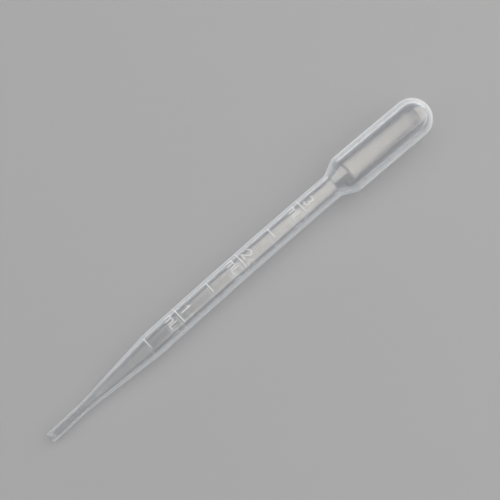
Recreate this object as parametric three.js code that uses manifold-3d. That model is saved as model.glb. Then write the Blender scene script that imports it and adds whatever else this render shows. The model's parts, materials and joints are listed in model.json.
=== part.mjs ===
// Graduated dropper pipette: tip, taper, stem and squeeze bulb blown in one piece from natural
// low-density polyethylene, open only at the tip.
//
// Millimetres, +Z up. The pipette lies on the surface z = 0 as it comes to rest, tip towards -X
// and bulb towards +X, and touches the surface below the root of the stem and below the bulb.
// The origin is on that surface, under the middle of the pipette's box.

import * as THREE from 'three';
import { mergeVertices } from 'three/addons/utils/BufferGeometryUtils.js';
import Module from 'manifold-3d';

// Lengths along the pipette's own axis, measured from the mouth.
const overallLength = 155;
const flareLength = 2; // the mouth swells a little where the tip was cut off
const tipLength = 13.5; // drawn tube that dips into the liquid
const neckRampLength = 3.4; // from the tip up to the neck
const neckLength = 1.5; // short land at the end of the mould
const neckRootLength = 2; // from the neck into the taper
const taperLength = 20.8; // cone that opens into the stem
const bulbLength = 34.6; // from the shoulder's large corner to the end of the dome

// Diameters outside, and the walls.
const mouthDiameter = 3.5;
const tipDiameter = 3.3;
const tipBore = 2.2;
const neckDiameter = 3.8;
const neckRootDiameter = 4.46;
const neckWall = 0.6;
const stemDiameter = 8.2;
const stemWall = 0.54;
const bulbDiameter = 13.5;
const bulbWall = 0.5;

// Shoulder and corner roundings.
const shoulderAngle = THREE.MathUtils.degToRad(27); // between the shoulder's slope and the axis
const tipRounding = 8;
const neckRounding = 3;
const taperRounding = 14;
const shoulderFootRounding = 2; // hollow corner, stem to shoulder
const shoulderHeadRounding = 3; // full corner, shoulder to bulb

// The scale: raised lines on both halves of the mould, placed by the volume held below them.
const graduationStep = 500; // cubic millimetres, half a millilitre
const linesPerNumeral = 2; // every second line is a long one
const longLineSpread = THREE.MathUtils.degToRad(82); // angle that a long line covers
const shortLineSpread = THREE.MathUtils.degToRad(56);
const lineWidth = 0.45;
const lineHeight = 0.15;
const lineChamfer = 0.1;
const lineRoot = 0.25; // how deep a line is rooted in the wall
const scaleMargin = 6; // kept clear between the last line and the shoulder

// How it lies.
const bow = 1.2; // rise of the slightly bent axis over the overall length, sideways
const scaleTurn = THREE.MathUtils.degToRad(7); // the scale's middle is this far off the top, to +Y

// Fineness of the facets.
const segmentsRound = 40; // one flat of the ring faces down
const arcStep = THREE.MathUtils.degToRad(7.5); // largest turn between two points of a rounding
const straightStep = 10; // longest straight stretch, so that the bow bends it
const domeSteps = 10;
const lineFacet = THREE.MathUtils.degToRad(9);

// Places along the axis that follow from those sizes.
const neckStart = tipLength + neckRampLength;
const neckEnd = neckStart + neckLength;
const taperStart = neckEnd + neckRootLength;
const stemStart = taperStart + taperLength;
const domeStart = overallLength - bulbDiameter / 2;
const bulbStart = overallLength - bulbLength;
const stemEnd = bulbStart - (bulbDiameter - stemDiameter) / 2 / Math.tan(shoulderAngle);

const wasm = await Module();
wasm.setup();

// The corners of the section from the mouth to the bulb: place along the axis, outer radius,
// wall and rounding. The bulb's dome follows the last one.
function sectionCorners() {
  const mouthWall = (mouthDiameter - tipBore) / 2;
  const tipWall = (tipDiameter - tipBore) / 2;
  return [
    { at: 0, radius: mouthDiameter / 2, wall: mouthWall, rounding: 0 },
    { at: flareLength, radius: tipDiameter / 2, wall: tipWall, rounding: tipRounding },
    { at: tipLength, radius: tipDiameter / 2, wall: tipWall, rounding: tipRounding },
    { at: neckStart, radius: neckDiameter / 2, wall: neckWall, rounding: neckRounding },
    { at: neckEnd, radius: neckDiameter / 2, wall: neckWall, rounding: neckRounding },
    { at: taperStart, radius: neckRootDiameter / 2, wall: neckWall, rounding: neckRounding },
    { at: stemStart, radius: stemDiameter / 2, wall: stemWall, rounding: taperRounding },
    { at: stemEnd, radius: stemDiameter / 2, wall: stemWall, rounding: shoulderFootRounding },
    { at: bulbStart, radius: bulbDiameter / 2, wall: bulbWall, rounding: shoulderHeadRounding },
    { at: domeStart, radius: bulbDiameter / 2, wall: bulbWall, rounding: 0 },
  ];
}

// Points of the arc that rounds the corner between two straight stretches. The arc takes at most
// half of the shorter stretch.
function roundedCorner(before, corner, after, rounding) {
  const back = before.clone().sub(corner);
  const ahead = after.clone().sub(corner);
  const turn = Math.PI - back.angleTo(ahead);
  if (rounding === 0 || turn < 1e-6) return [corner];
  const room = Math.min(back.length(), ahead.length()) / 2;
  const tangent = Math.min(rounding * Math.tan(turn / 2), room);
  const radius = tangent / Math.tan(turn / 2);
  const toCentre = back.clone().normalize().add(ahead.clone().normalize()).normalize();
  const centre = corner.clone().addScaledVector(toCentre, radius / Math.cos(turn / 2));
  const start = corner.clone().addScaledVector(back.normalize(), tangent).sub(centre);
  const sense = Math.sign(start.cross(ahead)); // which way the outline turns
  const steps = Math.ceil(turn / arcStep);
  return Array.from({ length: steps + 1 }, (_, i) =>
    start.clone().rotateAround(new THREE.Vector2(), (sense * turn * i) / steps).add(centre)
  );
}

// Splits each long straight stretch of an outline into equal steps.
function subdivided(outline) {
  const points = [outline[0]];
  for (let i = 1; i < outline.length; i += 1) {
    const [from, to] = [outline[i - 1], outline[i]];
    const steps = Math.ceil(from.distanceTo(to) / straightStep);
    for (let k = 1; k <= steps; k += 1) points.push(from.clone().lerp(to, k / steps));
  }
  return points;
}

// One side of the section, from the mouth to the crown of the dome. Each point holds the radius
// in x and the place along the axis in y.
function outlineOf(corners, radiusOf) {
  const sharp = corners.map((corner) => new THREE.Vector2(radiusOf(corner), corner.at));
  const rounded = sharp.flatMap((point, i) =>
    i === 0 || i === sharp.length - 1
      ? [point]
      : roundedCorner(sharp[i - 1], point, sharp[i + 1], corners[i].rounding)
  );
  const domeRadius = sharp.at(-1).x;
  const dome = Array.from({ length: domeSteps }, (_, i) => {
    const angle = ((i + 1) / domeSteps) * (Math.PI / 2);
    const radius = i + 1 === domeSteps ? 0 : domeRadius * Math.cos(angle);
    return new THREE.Vector2(radius, domeStart + domeRadius * Math.sin(angle));
  });
  return [...subdivided(rounded), ...dome];
}

// The pipette's radius at a place along its axis.
function radiusAt(outline, at) {
  const i = outline.findIndex((point) => point.y >= at);
  const [low, high] = [outline[i - 1], outline[i]];
  return THREE.MathUtils.mapLinear(at, low.y, high.y, low.x, high.x);
}

// Place along the axis up to which the bore holds a volume, filled from the mouth.
function levelOf(volume, bore) {
  let left = volume;
  for (let i = 1; i < bore.length; i += 1) {
    const [low, high] = [bore[i - 1], bore[i]];
    const height = high.y - low.y;
    const squares = low.x * low.x + low.x * high.x + high.x * high.x;
    const held = (Math.PI * height * squares) / 3;
    if (held >= left) {
      const slope = (high.x - low.x) / height;
      if (Math.abs(slope) < 1e-9) return low.y + left / (Math.PI * low.x * low.x);
      const radius = Math.cbrt(low.x ** 3 + (3 * slope * left) / Math.PI);
      return low.y + (radius - low.x) / slope;
    }
    left -= held;
  }
  return Infinity;
}

// Bends a straight piece sideways along the bow, its sections staying square to the axis.
function bent(geometry) {
  const bowRadius = (overallLength * overallLength) / (8 * bow) + bow / 2;
  const points = geometry.attributes.position;
  for (let i = 0; i < points.count; i += 1) {
    const angle = (points.getX(i) - overallLength / 2) / bowRadius;
    const reach = bowRadius + points.getY(i);
    points.setXY(i, reach * Math.sin(angle), reach * Math.cos(angle) - bowRadius);
  }
  return geometry;
}

// The hollow body: inner outline from the crown to the mouth, then the outer one back.
function bodyGeometry(outer, inner) {
  const halfFlat = Math.PI / segmentsRound;
  const section = [...[...inner].reverse(), ...outer];
  const geometry = new THREE.LatheGeometry(section, segmentsRound, halfFlat);
  return geometry.rotateZ(-Math.PI / 2);
}

// A line of the scale at the top of the pipette: part of a ring, chamfered, rooted in the wall.
function lineGeometry(at, radius, spread) {
  const top = radius + lineHeight;
  const [first, last] = [Math.PI - spread / 2, Math.PI + spread / 2];
  const sector = new THREE.Shape();
  sector.absarc(0, 0, top, first, last, false);
  sector.absarc(0, 0, radius - lineRoot, last, first, true);
  const geometry = new THREE.ExtrudeGeometry(sector, {
    depth: lineWidth - 2 * lineChamfer,
    curveSegments: Math.ceil(spread / lineFacet / 2), // an arc is cut into twice as many
    bevelThickness: lineChamfer,
    bevelSize: lineChamfer,
    bevelOffset: -lineChamfer,
    bevelSegments: 1,
  });
  geometry.translate(0, 0, lineChamfer - lineWidth / 2);
  return geometry.rotateY(Math.PI / 2).translate(at, 0, 0);
}

// Every line of the scale, on both halves of the mould.
function scaleLines(outer, inner) {
  const lines = [];
  for (let count = 1; ; count += 1) {
    const at = levelOf(count * graduationStep, inner);
    if (at > stemEnd - scaleMargin) return lines;
    const spread = count % linesPerNumeral === 0 ? longLineSpread : shortLineSpread;
    for (const half of [0, Math.PI]) {
      lines.push(lineGeometry(at, radiusAt(outer, at), spread).rotateX(half - scaleTurn));
    }
  }
}

function toManifold(geometry) {
  geometry.deleteAttribute('normal');
  geometry.deleteAttribute('uv');
  const merged = mergeVertices(geometry);
  const index = merged.index.array;
  const triangles = [];
  for (let i = 0; i < index.length; i += 3) {
    const [a, b, c] = index.subarray(i, i + 3);
    if (a !== b && b !== c && c !== a) triangles.push(a, b, c); // none left flat at the crown
  }
  const mesh = new wasm.Mesh({
    numProp: 3,
    vertProperties: new Float32Array(merged.attributes.position.array),
    triVerts: new Uint32Array(triangles),
  });
  return new wasm.Manifold(mesh);
}

function toGeometry(manifold) {
  const mesh = manifold.getMesh();
  const geometry = new THREE.BufferGeometry();
  geometry.setAttribute('position', new THREE.BufferAttribute(mesh.vertProperties, 3));
  geometry.setIndex(new THREE.BufferAttribute(mesh.triVerts, 1));
  geometry.computeVertexNormals();
  return geometry;
}

// Centre of mass of a closed body, from the tetrahedra between its triangles and the origin.
function centreOfMass(geometry) {
  const corner = [new THREE.Vector3(), new THREE.Vector3(), new THREE.Vector3()];
  const moment = new THREE.Vector3();
  let volume = 0;
  for (let i = 0; i < geometry.index.count; i += 3) {
    corner.forEach((point, k) =>
      point.fromBufferAttribute(geometry.attributes.position, geometry.index.getX(i + k))
    );
    const [a, b, c] = corner;
    const part = a.dot(b.clone().cross(c)) / 6;
    moment.addScaledVector(a.clone().add(b).add(c), part / 4);
    volume += part;
  }
  return moment.divideScalar(volume);
}

// Slope of the straight edge that the pipette rests on: of all lines that pass below every point
// of it, the one that comes nearest to its centre of mass.
function restingSlope(geometry) {
  const points = geometry.attributes.position;
  const balance = centreOfMass(geometry).x;
  const heightBelowBalance = (slope) => {
    let height = Infinity;
    for (let i = 0; i < points.count; i += 1) {
      height = Math.min(height, points.getZ(i) + slope * (balance - points.getX(i)));
    }
    return height;
  };
  let [low, high] = [-0.5, 0.5];
  while (high - low > 1e-9) {
    const third = (high - low) / 3;
    if (heightBelowBalance(low + third) < heightBelowBalance(high - third)) low += third;
    else high -= third;
  }
  return (low + high) / 2;
}

function buildPipette() {
  const corners = sectionCorners();
  const outer = outlineOf(corners, (corner) => corner.radius);
  const inner = outlineOf(corners, (corner) => corner.radius - corner.wall);
  let solid = toManifold(bent(bodyGeometry(outer, inner)));
  for (const line of scaleLines(outer, inner)) solid = solid.add(toManifold(bent(line)));

  const milkyPolyethylene = new THREE.MeshStandardMaterial({
    color: 0xdde1e2,
    roughness: 0.35,
    metalness: 0,
    transparent: true,
    opacity: 0.6,
  });
  const pipette = new THREE.Mesh(toGeometry(solid), milkyPolyethylene);
  pipette.name = 'pipette';
  return pipette;
}

// Leans the pipette onto its resting edge and sets it on the surface, centred on the origin.
const pipette = buildPipette();
pipette.rotation.y = Math.atan(restingSlope(pipette.geometry));
const box = new THREE.Box3().setFromObject(pipette, true);
const middle = box.getCenter(new THREE.Vector3());
pipette.position.set(-middle.x, -middle.y, -box.min.z);

const model = new THREE.Group();
model.add(pipette);

export default model;
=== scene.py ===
"""Looks of the graduated dropper pipette: milky, half-gloss polyethylene on a pale surface.

The moulding is made again here as a fine mesh of the same section as the CAD solid, with the
moulded numerals, unit and parting line that the CAD solid leaves out. Sizes of the pipette are
in millimetres until its mesh is made; everything in the scene is in metres.
"""

import itertools
import json
import math

import bpy
import numpy as np
from mathutils import Matrix, Vector


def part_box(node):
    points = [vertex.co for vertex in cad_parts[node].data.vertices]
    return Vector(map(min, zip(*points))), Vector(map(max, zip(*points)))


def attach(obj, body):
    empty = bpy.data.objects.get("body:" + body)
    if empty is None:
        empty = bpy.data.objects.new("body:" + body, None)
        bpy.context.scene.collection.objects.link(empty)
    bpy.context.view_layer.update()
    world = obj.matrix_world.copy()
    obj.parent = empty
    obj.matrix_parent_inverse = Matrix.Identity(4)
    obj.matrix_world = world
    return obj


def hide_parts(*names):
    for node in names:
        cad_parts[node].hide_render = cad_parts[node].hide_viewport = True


MM = 0.001

# The section, as in the CAD part: lengths along the axis from the mouth, diameters and walls.
OVERALL_LENGTH = 155.0
FLARE_LENGTH = 2.0
TIP_LENGTH = 13.5
NECK_RAMP_LENGTH = 3.4
NECK_LENGTH = 1.5
NECK_ROOT_LENGTH = 2.0
TAPER_LENGTH = 20.8
BULB_LENGTH = 34.6
MOUTH_DIAMETER = 3.5
TIP_DIAMETER = 3.3
TIP_BORE = 2.2
NECK_DIAMETER = 3.8
NECK_ROOT_DIAMETER = 4.46
NECK_WALL = 0.6
STEM_DIAMETER = 8.2
STEM_WALL = 0.54
BULB_DIAMETER = 13.5
BULB_WALL = 0.5
SHOULDER_ANGLE = math.radians(27)
BOW = 1.2

# Roundings of the section's corners.
TIP_ROUNDING = 8
NECK_ROUNDING = 3
TAPER_ROUNDING = 14
SHOULDER_FOOT_ROUNDING = 2
SHOULDER_HEAD_ROUNDING = 3

# Places along the axis that follow from those sizes.
NECK_START = TIP_LENGTH + NECK_RAMP_LENGTH
NECK_END = NECK_START + NECK_LENGTH
TAPER_START = NECK_END + NECK_ROOT_LENGTH
STEM_START = TAPER_START + TAPER_LENGTH
BULB_START = OVERALL_LENGTH - BULB_LENGTH
STEM_END = BULB_START - (BULB_DIAMETER - STEM_DIAMETER) / 2 / math.tan(SHOULDER_ANGLE)
DOME_START = OVERALL_LENGTH - BULB_DIAMETER / 2

# The scale and its lettering.
HALF_MILLILITRE = 500.0
LINES_PER_NUMERAL = 2
LONG_LINE_SPREAD = math.radians(82)
SHORT_LINE_SPREAD = math.radians(56)
SCALE_TURN = math.radians(7)
SCALE_MARGIN = 6.0
NUMERAL_HEIGHT = 3.2
NUMERAL_GAP = 1.2
UNIT_HEIGHT = 2.3
UNIT_GAP = 2.1
LETTER_SPACING = 0.28  # as a share of the letters' height

# What is moulded on the outer wall: a flat or rounded top, and the slope beside it.
STROKE_CORE = 0.08
STROKE_EDGE = 0.13
STROKE_HEIGHT = 0.15
SEAM_HALF_WIDTH = 0.12
SEAM_HEIGHT = 0.05
SEAM_RUN_IN = 4.0  # length over which the parting line rises from the tip

# Unevenness of the inner wall: depth, waves round the wall, turn at the mouth, and the length
# over which the waves turn by a radian.
WALL_WAVES = [
    (0.022, 2, 0.6, 90.0),
    (0.014, 5, -1.1, 60.0),
    (0.008, 11, 2.3, -35.0),
]
WAVES_RUN_IN = 20.0
LEAST_WAVY_RADIUS = 1.2  # the tip's narrower bore and the crown of the dome stay even

# Fineness of the mesh.
ARC_STEP = math.radians(3)
LEAST_TURN = 1e-6
STRAIGHT_STEP = 3.0
FINE_STEP = 0.1
DOME_STEPS = 28
SCALE_SECTOR = math.radians(90)
PLAIN_TURN = math.radians(4.5)
FINE_TURN = math.radians(1.4)
SEAM_COLUMNS = 5
SEAM_CLEARANCE = math.radians(2.5)
LETTER_ARC_POINTS = 13
VOLUME_SAMPLES = 20001
MARK_REACH = 8.0  # farther than any stroke is from the line it belongs to

# The plastic. A look straight through one face of the wall meets MILKINESS of milk, a slanting
# look meets more, up to RIM_MILKINESS, and a raised stroke adds up to the stroke share below.
# That share is partly the greater depth of plastic in the stroke and partly a painted glint,
# which makes the moulded lettering show white.
MILKINESS = 0.018
SLANT_POWER = 4.0
RIM_MILKINESS = 0.8
# The raised strokes' extra milk: partly the greater depth of plastic, partly a painted glint on
# the moulded lettering.
STROKE_MILK_AND_PAINTED_GLINT = 0.8
MILK_COLOUR = (0.9, 0.93, 0.96, 1)
MILK_ROUGHNESS = 0.5
CLEAR_COLOUR = (0.924, 0.931, 0.939, 1)
SHADE_COLOUR = (0.91, 0.915, 0.92, 1)  # what one face of the wall lets through to its shadow
GLOSS_STRAIGHT = 0.11
GLOSS_GRAZING = 1.0
GRAZING_POWER = 5.0
GLOSS_ROUGHNESS = (0.16, 0.22)
STREAKS_PER_METRE = 1500
STREAK_SQUEEZE = 0.06  # the streaks are drawn out along X by the inverse of this
STREAK_DEPTH = 0.002
STREAK_STRENGTH = 0.1

# The floor and the surroundings, whose colour goes from the horizon's to the zenith's.
FLOOR_REACH = 0.9
FLOOR_DEPTH = 0.00002
FLOOR_COLOUR = (0.438, 0.448, 0.468, 1)
HORIZON_RISE = 0.1
HORIZON_COLOUR = (0.425, 0.422, 0.42, 1)
ZENITH_RISE = 0.5
ZENITH_COLOUR = (0.075, 0.105, 0.16, 1)

# The lamps. Overhead panels: name, reach along X, reach along Y, level.
WARM_WHITE = (1.0, 0.92, 0.81)
COOL_WHITE = (0.96, 0.98, 1.0)
OVERHEAD_HEIGHT = 0.7
OVERHEAD_PANELS = [
    ("overhead_far", (0.4, 2.6), (-1.35, 0.35), 1.7),
    ("overhead_bulb", (0.06, 0.28), (-1.35, 0.75), 1.8),
    ("overhead_tip", (-0.4, 0.06), (-1.35, 0.75), 0.45),
    ("overhead_left", (-1.3, -0.4), (-0.1, 1.0), 1.7),
]
STRIP_DISTANCE = 1.8
STRIP_AIM = Vector((0, 0, 0.01))

# The camera: tilt from straight down, heading of the picture's right side, the point in the
# middle of the picture in millimetres, and the focal length as a share of the picture's side.
CAMERA_TILT = math.radians(16.9)
CAMERA_HEADING = math.radians(-42.2)
CAMERA_TARGET = Vector((5.32, 2.59, 4.84))
CAMERA_DISTANCE = 0.494
FOCAL_SHARE = 3.228
SENSOR_WIDTH = 36

X = Vector((1, 0, 0))
Z = Vector((0, 0, 1))

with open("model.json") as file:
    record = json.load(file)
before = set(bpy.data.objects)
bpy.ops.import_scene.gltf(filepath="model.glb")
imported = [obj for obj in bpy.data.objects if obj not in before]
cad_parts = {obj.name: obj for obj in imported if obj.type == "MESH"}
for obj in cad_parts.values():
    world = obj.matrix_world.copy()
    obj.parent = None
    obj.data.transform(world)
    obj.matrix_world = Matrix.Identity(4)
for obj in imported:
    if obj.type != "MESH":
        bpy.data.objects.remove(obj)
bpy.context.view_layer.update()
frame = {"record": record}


# --- the section -----------------------------------------------------------------------------

def section_corners():
    """Corners of the section: place along the axis, outer radius, wall and rounding."""
    mouth_wall = (MOUTH_DIAMETER - TIP_BORE) / 2
    tip_wall = (TIP_DIAMETER - TIP_BORE) / 2
    return [
        (0.0, MOUTH_DIAMETER / 2, mouth_wall, 0),
        (FLARE_LENGTH, TIP_DIAMETER / 2, tip_wall, TIP_ROUNDING),
        (TIP_LENGTH, TIP_DIAMETER / 2, tip_wall, TIP_ROUNDING),
        (NECK_START, NECK_DIAMETER / 2, NECK_WALL, NECK_ROUNDING),
        (NECK_END, NECK_DIAMETER / 2, NECK_WALL, NECK_ROUNDING),
        (TAPER_START, NECK_ROOT_DIAMETER / 2, NECK_WALL, NECK_ROUNDING),
        (STEM_START, STEM_DIAMETER / 2, STEM_WALL, TAPER_ROUNDING),
        (STEM_END, STEM_DIAMETER / 2, STEM_WALL, SHOULDER_FOOT_ROUNDING),
        (BULB_START, BULB_DIAMETER / 2, BULB_WALL, SHOULDER_HEAD_ROUNDING),
        (DOME_START, BULB_DIAMETER / 2, BULB_WALL, 0),
    ]


def rounded_corner(before, corner, after, rounding):
    """Points of the arc that rounds a corner of an outline."""
    back, ahead = before - corner, after - corner
    turn = math.pi - back.angle(ahead)
    if rounding == 0 or turn < LEAST_TURN:
        return [corner]
    room = min(back.length, ahead.length) / 2
    tangent = min(rounding * math.tan(turn / 2), room)
    radius = tangent / math.tan(turn / 2)
    to_centre = (back.normalized() + ahead.normalized()).normalized()
    centre = corner + to_centre * (radius / math.cos(turn / 2))
    start = corner + back.normalized() * tangent - centre
    sense = math.copysign(1, start.x * ahead.y - start.y * ahead.x)
    steps = math.ceil(turn / ARC_STEP)
    points = []
    for i in range(steps + 1):
        angle = sense * turn * i / steps
        c, s = math.cos(angle), math.sin(angle)
        points.append(centre + Vector((c * start.x - s * start.y, s * start.x + c * start.y)))
    return points


def outline(inside):
    """The outer or the inner wall up to the dome: rows of place along the axis and radius."""
    corners = section_corners()
    sharp = [Vector((at, radius - wall if inside else radius)) for at, radius, wall, _ in corners]
    points = [sharp[0]]
    for i in range(1, len(sharp) - 1):
        rounding = corners[i][-1]
        points += rounded_corner(sharp[i - 1], sharp[i], sharp[i + 1], rounding)
    points.append(sharp[-1])
    return np.array([tuple(p) for p in points])


def dome(radius):
    """The dome that closes the bulb, up to the last ring before its crown."""
    angles = np.arange(1, DOME_STEPS) / DOME_STEPS * math.pi / 2
    return np.column_stack([DOME_START + radius * np.sin(angles), radius * np.cos(angles)])


def level_of(volume, bore):
    """Place along the axis up to which the bore holds a volume."""
    fine = np.linspace(0, bore[-1, 0], VOLUME_SAMPLES)
    radius = np.interp(fine, bore[:, 0], bore[:, 1])
    slices = math.pi * (radius[1:] ** 2 + radius[1:] * radius[:-1] + radius[:-1] ** 2) / 3
    held = np.concatenate([[0], np.cumsum(slices * np.diff(fine))])
    return float(np.interp(volume, held, fine))


# --- lettering -------------------------------------------------------------------------------

def arc(x, y, radius, first, last):
    """An arc as a line of points, its angles in degrees."""
    angles = np.radians(np.linspace(first, last, LETTER_ARC_POINTS))
    return [(x + radius * math.cos(a), y + radius * math.sin(a)) for a in angles]


def glyph(letter):
    """The strokes of a numeral or letter, one unit high, with their width."""
    if letter == "1":
        return [[(0.0, 0.74), (0.22, 1.0), (0.22, 0.0)]], 0.3
    if letter == "2":
        return [arc(0.32, 0.69, 0.31, 165, -35) + [(0.0, 0.0), (0.66, 0.0)]], 0.66
    if letter == "3":
        return [arc(0.3, 0.76, 0.24, 150, -90), arc(0.3, 0.26, 0.26, 90, -150)], 0.58
    if letter == "m":
        legs = [[(x, 0.0), (x, 0.74)] for x in (0.0, 0.5, 1.0)]
        arches = [arc(x, 0.74, 0.25, 180, 0) for x in (0.25, 0.75)]
        return legs + arches + [[(0.0, 0.7), (0.0, 1.0)]], 1.0
    return [[(0.0, 1.2), (0.0, 0.0), (0.52, 0.0)]], 0.52  # L, taller than the m


def text_strokes(text, height, base):
    """Strokes of a text centred across, its base line at a place up from the scale's line."""
    glyphs = [glyph(letter) for letter in text]
    width = sum(w for _, w in glyphs) + LETTER_SPACING * (len(glyphs) - 1)
    left, strokes = -width / 2, []
    for lines, w in glyphs:
        for line in lines:
            strokes.append([((left + x) * height, base + y * height) for x, y in line])
        left += w + LETTER_SPACING
    return strokes


def mark_strokes(count):
    """Strokes of the scale's count-th line, with numeral and unit where it is a long one."""
    is_long = count % LINES_PER_NUMERAL == 0
    spread = LONG_LINE_SPREAD if is_long else SHORT_LINE_SPREAD
    reach = STEM_DIAMETER / 2 * spread / 2 - STROKE_CORE - STROKE_EDGE
    strokes = [[(-reach, 0.0), (reach, 0.0)]]
    if is_long:
        numeral = str(count // LINES_PER_NUMERAL)
        strokes += text_strokes(numeral, NUMERAL_HEIGHT, NUMERAL_GAP)
        strokes += text_strokes("mL", UNIT_HEIGHT, -UNIT_GAP - UNIT_HEIGHT)
    return strokes


def scale_marks(bore):
    """For each line of the scale: its place along the axis and its strokes around that place."""
    marks = []
    for count in itertools.count(1):
        at = level_of(count * HALF_MILLILITRE, bore)
        if at >= STEM_END - SCALE_MARGIN:
            return marks
        marks.append((at, mark_strokes(count)))


def distance_to_strokes(across, up, strokes):
    """Distance from points of the unrolled wall to the nearest stroke."""
    nearest = np.full(across.shape, np.inf)
    for line in strokes:
        for (x0, y0), (x1, y1) in zip(line, line[1:]):
            dx, dy = x1 - x0, y1 - y0
            along = ((across - x0) * dx + (up - y0) * dy) / (dx * dx + dy * dy)
            along = np.clip(along, 0, 1)
            gap = np.hypot(across - x0 - along * dx, up - y0 - along * dy)
            nearest = np.minimum(nearest, gap)
    return nearest


def raised(distance, core, edge, height):
    """Height of a moulded ridge at a distance from its middle line."""
    slope = np.clip((core + edge - distance) / edge, 0, 1)
    return height * slope * slope * (3 - 2 * slope)


# --- the moulding ----------------------------------------------------------------------------

def with_steps(points, step):
    """An outline with its long straight stretches cut into steps."""
    rows = [points[:1]]
    for low, high in zip(points, points[1:]):
        count = max(1, math.ceil(np.linalg.norm(high - low) / step))
        share = np.arange(1, count + 1)[:, None] / count
        rows.append(low + (high - low) * share)
    return np.concatenate(rows)


def outer_rows(points, marks):
    """Rings of the outer wall: fine where the scale is moulded on it."""
    bands = []
    for at, strokes in marks:
        heights = np.array([y for line in strokes for _, y in line])
        margin = STROKE_CORE + STROKE_EDGE + FINE_STEP
        low, high = at + heights.min() - margin, at + heights.max() + margin
        steps = math.ceil((high - low) / FINE_STEP)
        bands.append(np.linspace(low, high, steps + 1))
    places = with_steps(points, STRAIGHT_STEP)[:, 0]
    for band in bands:
        places = places[(places < band[0] - FINE_STEP) | (places > band[-1] + FINE_STEP)]
    places = np.sort(np.concatenate([places] + bands))
    return np.column_stack([places, np.interp(places, points[:, 0], points[:, 1])])


def columns():
    """Angles from the top towards +Y: fine over both halves' scales, and at the parting lines."""
    half = SCALE_SECTOR / 2
    fine = np.linspace(-half, half, math.ceil(SCALE_SECTOR / FINE_TURN) + 1)
    between = math.pi - SCALE_SECTOR
    plain = np.linspace(half, half + between, math.ceil(between / PLAIN_TURN) + 1)[1:-1]
    plain = plain[np.abs(plain - math.pi / 2) > SEAM_CLEARANCE]
    seam_spread = SEAM_HALF_WIDTH / (STEM_DIAMETER / 2)
    seam = math.pi / 2 + np.linspace(-1, 1, SEAM_COLUMNS) * seam_spread
    one_side = np.concatenate([fine, plain, seam])
    angles = np.sort(np.concatenate([one_side, one_side + math.pi]))
    return angles + SCALE_TURN


def ridges(at, turn, radius, marks):
    """Height of what is moulded on the outer wall, over the grid of rings and columns."""
    proud = np.zeros(at.shape)
    for centre in (SCALE_TURN, SCALE_TURN + math.pi):
        offset = (turn - centre + math.pi) % (2 * math.pi) - math.pi
        across = -offset * radius
        for place, strokes in marks:
            near = (np.abs(at - place) < MARK_REACH) & (np.abs(offset) < SCALE_SECTOR / 2)
            gap = distance_to_strokes(across[near], at[near] - place, strokes)
            height = raised(gap, STROKE_CORE, STROKE_EDGE, STROKE_HEIGHT)
            proud[near] = np.maximum(proud[near], height)
        from_seam = np.abs(np.abs(offset) - math.pi / 2) * radius
        risen = np.clip((at - TIP_LENGTH) / SEAM_RUN_IN, 0, 1)
        seam = raised(from_seam, 0.0, SEAM_HALF_WIDTH, SEAM_HEIGHT) * risen
        proud = np.maximum(proud, seam)
    return proud


def wall_waves(at, turn, radius):
    """Unevenness of the inner wall, drawn out along the pipette as it was blown."""
    waves = np.zeros(at.shape)
    for depth, count, start, length in WALL_WAVES:
        waves += depth * np.cos(count * turn + start + at / length)
    return waves * np.clip(at / WAVES_RUN_IN, 0, 1) * (radius > LEAST_WAVY_RADIUS)


def bent(at, y):
    """The bow: from a straight axis to X and Y along the bent one."""
    bow_radius = OVERALL_LENGTH ** 2 / (8 * BOW) + BOW / 2
    angle = (at - OVERALL_LENGTH / 2) / bow_radius
    return (bow_radius + y) * np.sin(angle), (bow_radius + y) * np.cos(angle) - bow_radius


def leaned(x, z):
    """Leaned about Y as the CAD solid is, which the record's mouth face tells."""
    face = next(m for m in frame["record"]["mounts"] if m["name"] == "tip_face")
    lean = math.atan2(face["axis"][2], face["axis"][0]) + math.pi
    return x * math.cos(lean) - z * math.sin(lean), x * math.sin(lean) + z * math.cos(lean)


def set_down(x, y, z):
    """Points in metres, moved to the middle of the CAD solid's box and down to its lowest."""
    low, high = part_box("pipette")
    place = np.column_stack([x, y, z]) * MM
    middle = (place.min(axis=0) + place.max(axis=0)) / 2
    place[:, 0] += (low[0] + high[0]) / 2 - middle[0]
    place[:, 1] += (low[1] + high[1]) / 2 - middle[1]
    place[:, 2] += low[2] - place[:, 2].min()
    return place


def wall_grid():
    """Rings by columns over the inner wall, from the dome to the mouth, and back outside.

    Gives the place along the axis, the turn, the radius and the height of what is moulded there.
    """
    outer, inner = outline(inside=False), outline(inside=True)
    marks = scale_marks(inner)
    outer_rings = np.concatenate([outer_rows(outer, marks), dome(BULB_DIAMETER / 2)])
    inner_dome = dome(BULB_DIAMETER / 2 - BULB_WALL)
    inner_rings = np.concatenate([with_steps(inner, STRAIGHT_STEP), inner_dome])
    rings = np.concatenate([inner_rings[::-1], outer_rings])
    at, turn = np.meshgrid(rings[:, 0], columns(), indexing="ij")
    radius = np.repeat(rings[:, 1:2], at.shape[1], axis=1)
    inside, outside = np.split(np.arange(len(rings)), [len(inner_rings)])
    proud = np.zeros(at.shape)
    proud[outside] = ridges(at[outside], turn[outside], radius[outside], marks)
    radius += proud
    radius[inside] += wall_waves(at[inside], turn[inside], radius[inside])
    return at, turn, radius, proud


def wall_faces(rows, cols):
    """Faces between the rings, and fans to the two crowns, which follow the grid's points."""
    index = np.arange(rows * cols).reshape(rows, cols)
    turned = np.roll(index, -1, axis=1)
    quads = np.stack([index[:-1], index[1:], turned[1:], turned[:-1]], axis=-1).reshape(-1, 4)
    inner_crown, outer_crown = rows * cols, rows * cols + 1
    faces = [tuple(q) for q in quads.tolist()]
    faces += [(inner_crown, int(index[0, j]), int(turned[0, j])) for j in range(cols)]
    faces += [(outer_crown, int(turned[-1, j]), int(index[-1, j])) for j in range(cols)]
    return faces


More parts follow.
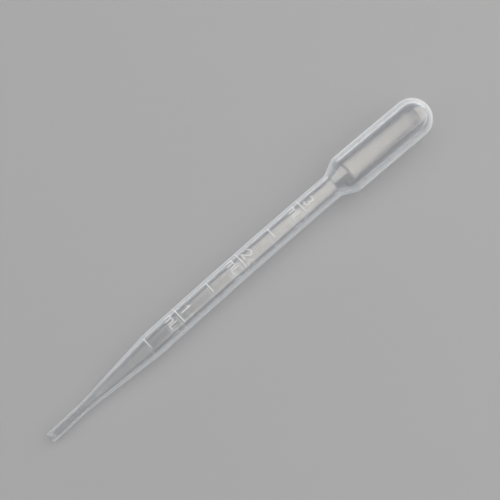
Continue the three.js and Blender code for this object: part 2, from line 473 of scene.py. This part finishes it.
def moulding():
    """The whole pipette as one closed mesh: inner wall, mouth and outer wall."""
    at, turn, radius, proud = wall_grid()
    rows, cols = at.shape
    crowns = [OVERALL_LENGTH - BULB_WALL, OVERALL_LENGTH]
    at = np.append(at.ravel(), crowns)
    y = np.append((radius * np.sin(turn)).ravel(), [0, 0])
    z = np.append((radius * np.cos(turn)).ravel(), [0, 0])
    x, y = bent(at, y)
    x, z = leaned(x, z)
    mesh = bpy.data.meshes.new("pipette_moulding")
    mesh.from_pydata(set_down(x, y, z).tolist(), [], wall_faces(rows, cols))
    mesh.shade_smooth()
    ridge = mesh.attributes.new("ridge", "FLOAT", "POINT")
    ridge.data.foreach_set("value", np.append(proud.ravel() / STROKE_HEIGHT, [0, 0]))
    return placed(mesh)


def placed(data):
    """A scene object, named as its mesh, lamp or camera is."""
    piece = bpy.data.objects.new(data.name, data)
    bpy.context.scene.collection.objects.link(piece)
    return piece


# --- materials -------------------------------------------------------------------------------

def value_range(tree, source, low, high):
    """A value from 0 to 1 spread from low to high."""
    spread = tree.nodes.new("ShaderNodeMapRange")
    spread.inputs["To Min"].default_value = low
    spread.inputs["To Max"].default_value = high
    tree.links.new(source, spread.inputs["Value"])
    return spread.outputs["Result"]


def maths(tree, operation, first, second):
    """A Math node's result, kept from 0 to 1; each input is a number or a socket."""
    node = tree.nodes.new("ShaderNodeMath")
    node.operation = operation
    node.use_clamp = True
    for socket, value in zip(node.inputs, (first, second)):
        if isinstance(value, float):
            socket.default_value = value
        else:
            tree.links.new(value, socket)
    return node.outputs["Value"]


def mixed(tree, share, first, second):
    """A mix of two shaders by a share of the second."""
    mix = tree.nodes.new("ShaderNodeMixShader")
    tree.links.new(share, mix.inputs["Fac"])
    tree.links.new(first, mix.inputs[1])
    tree.links.new(second, mix.inputs[2])
    return mix.outputs["Shader"]


def transparent(tree, colour):
    """A shader that lets light of this colour straight through."""
    shader = tree.nodes.new("ShaderNodeBsdfTransparent")
    shader.inputs["Color"].default_value = colour
    return shader.outputs["BSDF"]


def draw_streaks(tree):
    """Fine noise, drawn out along the pipette."""
    place = tree.nodes.new("ShaderNodeTexCoord")
    drawn = tree.nodes.new("ShaderNodeMapping")
    drawn.inputs["Scale"].default_value = (STREAK_SQUEEZE, 1, 1)
    tree.links.new(place.outputs["Object"], drawn.inputs["Vector"])
    streaks = tree.nodes.new("ShaderNodeTexNoise")
    streaks.inputs["Scale"].default_value = STREAKS_PER_METRE
    streaks.inputs["Detail"].default_value = 2
    tree.links.new(drawn.outputs["Vector"], streaks.inputs["Vector"])
    return streaks.outputs["Fac"]


def milk_share_with_painted_glint(tree, facing):
    """How much milk a look through one face meets: more at a slant, and more in a raised stroke,
    where it is partly the greater depth of plastic and partly a painted glint that makes the
    lettering show white.
    """
    straightness = maths(tree, "SUBTRACT", 1.0, facing)
    steepened = maths(tree, "POWER", straightness, SLANT_POWER)
    crossed = maths(tree, "DIVIDE", MILKINESS, steepened)
    crossed = maths(tree, "MINIMUM", crossed, RIM_MILKINESS)
    ridge = tree.nodes.new("ShaderNodeAttribute")
    ridge.attribute_name = "ridge"
    # The strokes' extra milk: partly the greater depth of plastic, partly a painted glint on the
    # moulded lettering.
    stroke_milk_and_painted_glint = value_range(tree, ridge.outputs["Fac"], 0.0, STROKE_MILK_AND_PAINTED_GLINT)
    return maths(tree, "ADD", crossed, stroke_milk_and_painted_glint)


def streaky_gloss(tree):
    """Half-gloss whose roughness and bump follow the draw streaks."""
    streaks = draw_streaks(tree)
    bump = tree.nodes.new("ShaderNodeBump")
    bump.inputs["Strength"].default_value = STREAK_STRENGTH
    bump.inputs["Distance"].default_value = STREAK_DEPTH * MM
    tree.links.new(streaks, bump.inputs["Height"])
    gloss = tree.nodes.new("ShaderNodeBsdfGlossy")
    roughness = value_range(tree, streaks, *GLOSS_ROUGHNESS)
    tree.links.new(roughness, gloss.inputs["Roughness"])
    tree.links.new(bump.outputs["Normal"], gloss.inputs["Normal"])
    return gloss.outputs["BSDF"]


def polyethylene():
    """Milky natural polyethylene: each face of the wall is a thin milky, glossy film."""
    material = bpy.data.materials.new("milky_polyethylene")
    material.use_nodes = True
    tree = material.node_tree
    milk = tree.nodes["Principled BSDF"]
    milk.inputs["Base Color"].default_value = MILK_COLOUR
    milk.inputs["Roughness"].default_value = MILK_ROUGHNESS
    slant = tree.nodes.new("ShaderNodeLayerWeight")
    slant.inputs["Blend"].default_value = 0.5
    facing = slant.outputs["Facing"]
    clear = transparent(tree, CLEAR_COLOUR)
    body = mixed(tree, milk_share_with_painted_glint(tree, facing), clear, milk.outputs["BSDF"])
    grazing = maths(tree, "POWER", facing, GRAZING_POWER)
    mirrored = value_range(tree, grazing, GLOSS_STRAIGHT, GLOSS_GRAZING)
    film = mixed(tree, mirrored, body, streaky_gloss(tree))
    path = tree.nodes.new("ShaderNodeLightPath")
    passing = transparent(tree, SHADE_COLOUR)
    whole = mixed(tree, path.outputs["Is Shadow Ray"], film, passing)
    tree.links.new(whole, tree.nodes["Material Output"].inputs["Surface"])
    return material


def pale_floor():
    """Matt, nearly neutral grey."""
    material = bpy.data.materials.new("pale_floor")
    material.use_nodes = True
    shader = material.node_tree.nodes["Principled BSDF"]
    shader.inputs["Base Color"].default_value = FLOOR_COLOUR
    shader.inputs["Roughness"].default_value = 0.9
    shader.inputs["Specular IOR Level"].default_value = 0.1
    return material


# --- the stage -------------------------------------------------------------------------------

def floor():
    """A flat square, a hair below the pipette."""
    mesh = bpy.data.meshes.new("floor")
    corners = [(-1, -1), (1, -1), (1, 1), (-1, 1)]
    points = [(x * FLOOR_REACH, y * FLOOR_REACH, -FLOOR_DEPTH) for x, y in corners]
    mesh.from_pydata(points, [], [(0, 1, 2, 3)])
    mesh.materials.append(pale_floor())
    placed(mesh)


def picture_axes():
    """Directions to the picture's right, along the floor up the picture, and to the camera."""
    right = Vector((math.cos(CAMERA_HEADING), math.sin(CAMERA_HEADING), 0))
    ahead = Vector((-math.sin(CAMERA_HEADING), math.cos(CAMERA_HEADING), 0))
    back = math.cos(CAMERA_TILT) * Z - math.sin(CAMERA_TILT) * ahead
    return right, ahead, back


def turned_to(piece, right, up, back, place):
    """Sets a lamp or camera at a place, given where its own three axes point."""
    pose = Matrix((right, up, back)).transposed().to_4x4()
    pose.translation = place
    piece.matrix_world = pose


def camera():
    """The photo's viewing angle."""
    right, _, back = picture_axes()
    data = bpy.data.cameras.new("camera")
    data.sensor_width = SENSOR_WIDTH
    data.lens = SENSOR_WIDTH * FOCAL_SHARE
    data.clip_start = 0.01
    piece = placed(data)
    turned_to(piece, right, back.cross(right), back, CAMERA_TARGET * MM + back * CAMERA_DISTANCE)
    bpy.context.scene.camera = piece


def surroundings():
    """A pale studio: light grey at the level of the eye, darker overhead."""
    world = bpy.data.worlds.new("studio")
    world.use_nodes = True
    tree = world.node_tree
    direction = tree.nodes.new("ShaderNodeTexCoord")
    parts = tree.nodes.new("ShaderNodeSeparateXYZ")
    tree.links.new(direction.outputs["Generated"], parts.inputs["Vector"])
    ramp = tree.nodes.new("ShaderNodeValToRGB")
    stops = [(HORIZON_RISE, HORIZON_COLOUR), (ZENITH_RISE, ZENITH_COLOUR)]
    for stop, (rise, colour) in zip(ramp.color_ramp.elements, stops):
        stop.position = rise
        stop.color = colour
    tree.links.new(parts.outputs["Z"], ramp.inputs["Fac"])
    tree.links.new(ramp.outputs["Color"], tree.nodes["Background"].inputs["Color"])
    bpy.context.scene.world = world


def softbox(name, centre, size, along, aim, level, colour):
    """A rectangular lamp that faces aim, with its length along a direction, of an even level."""
    lamp = bpy.data.lights.new(name, "AREA")
    lamp.shape = "RECTANGLE"
    lamp.size, lamp.size_y = size
    lamp.energy = level * math.pi * size[0] * size[1]
    lamp.color = colour
    back = (centre - aim).normalized()
    up = back.cross(along).normalized()
    turned_to(placed(lamp), up.cross(back), up, back, centre)


def overhead_light():
    """Warm panels that face down: each is mirrored in its own stretch of the pipette."""
    for name, (left, right), (near, far), level in OVERHEAD_PANELS:
        centre = Vector(((left + right) / 2, (near + far) / 2, OVERHEAD_HEIGHT))
        size = (right - left, far - near)
        softbox(name, centre, size, X, centre - Z, level, WARM_WHITE)


def edge_light():
    """Cool low strips behind the pipette and to its right, mirrored along its edges."""
    right, ahead, _ = picture_axes()
    behind = ahead * STRIP_DISTANCE + Z * 0.26
    softbox("back_edge", behind, (4.6, 0.4), right, STRIP_AIM, 3.0, COOL_WHITE)
    beside = right * STRIP_DISTANCE + Z * 0.3
    softbox("side_edge", beside, (2.0, 0.45), ahead, STRIP_AIM, 1.6, COOL_WHITE)


camera()
surroundings()
overhead_light()
edge_light()
floor()
pipette = moulding()
pipette.data.materials.append(polyethylene())
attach(pipette, "root")
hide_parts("pipette")
bpy.context.scene.view_settings.view_transform = "Standard"
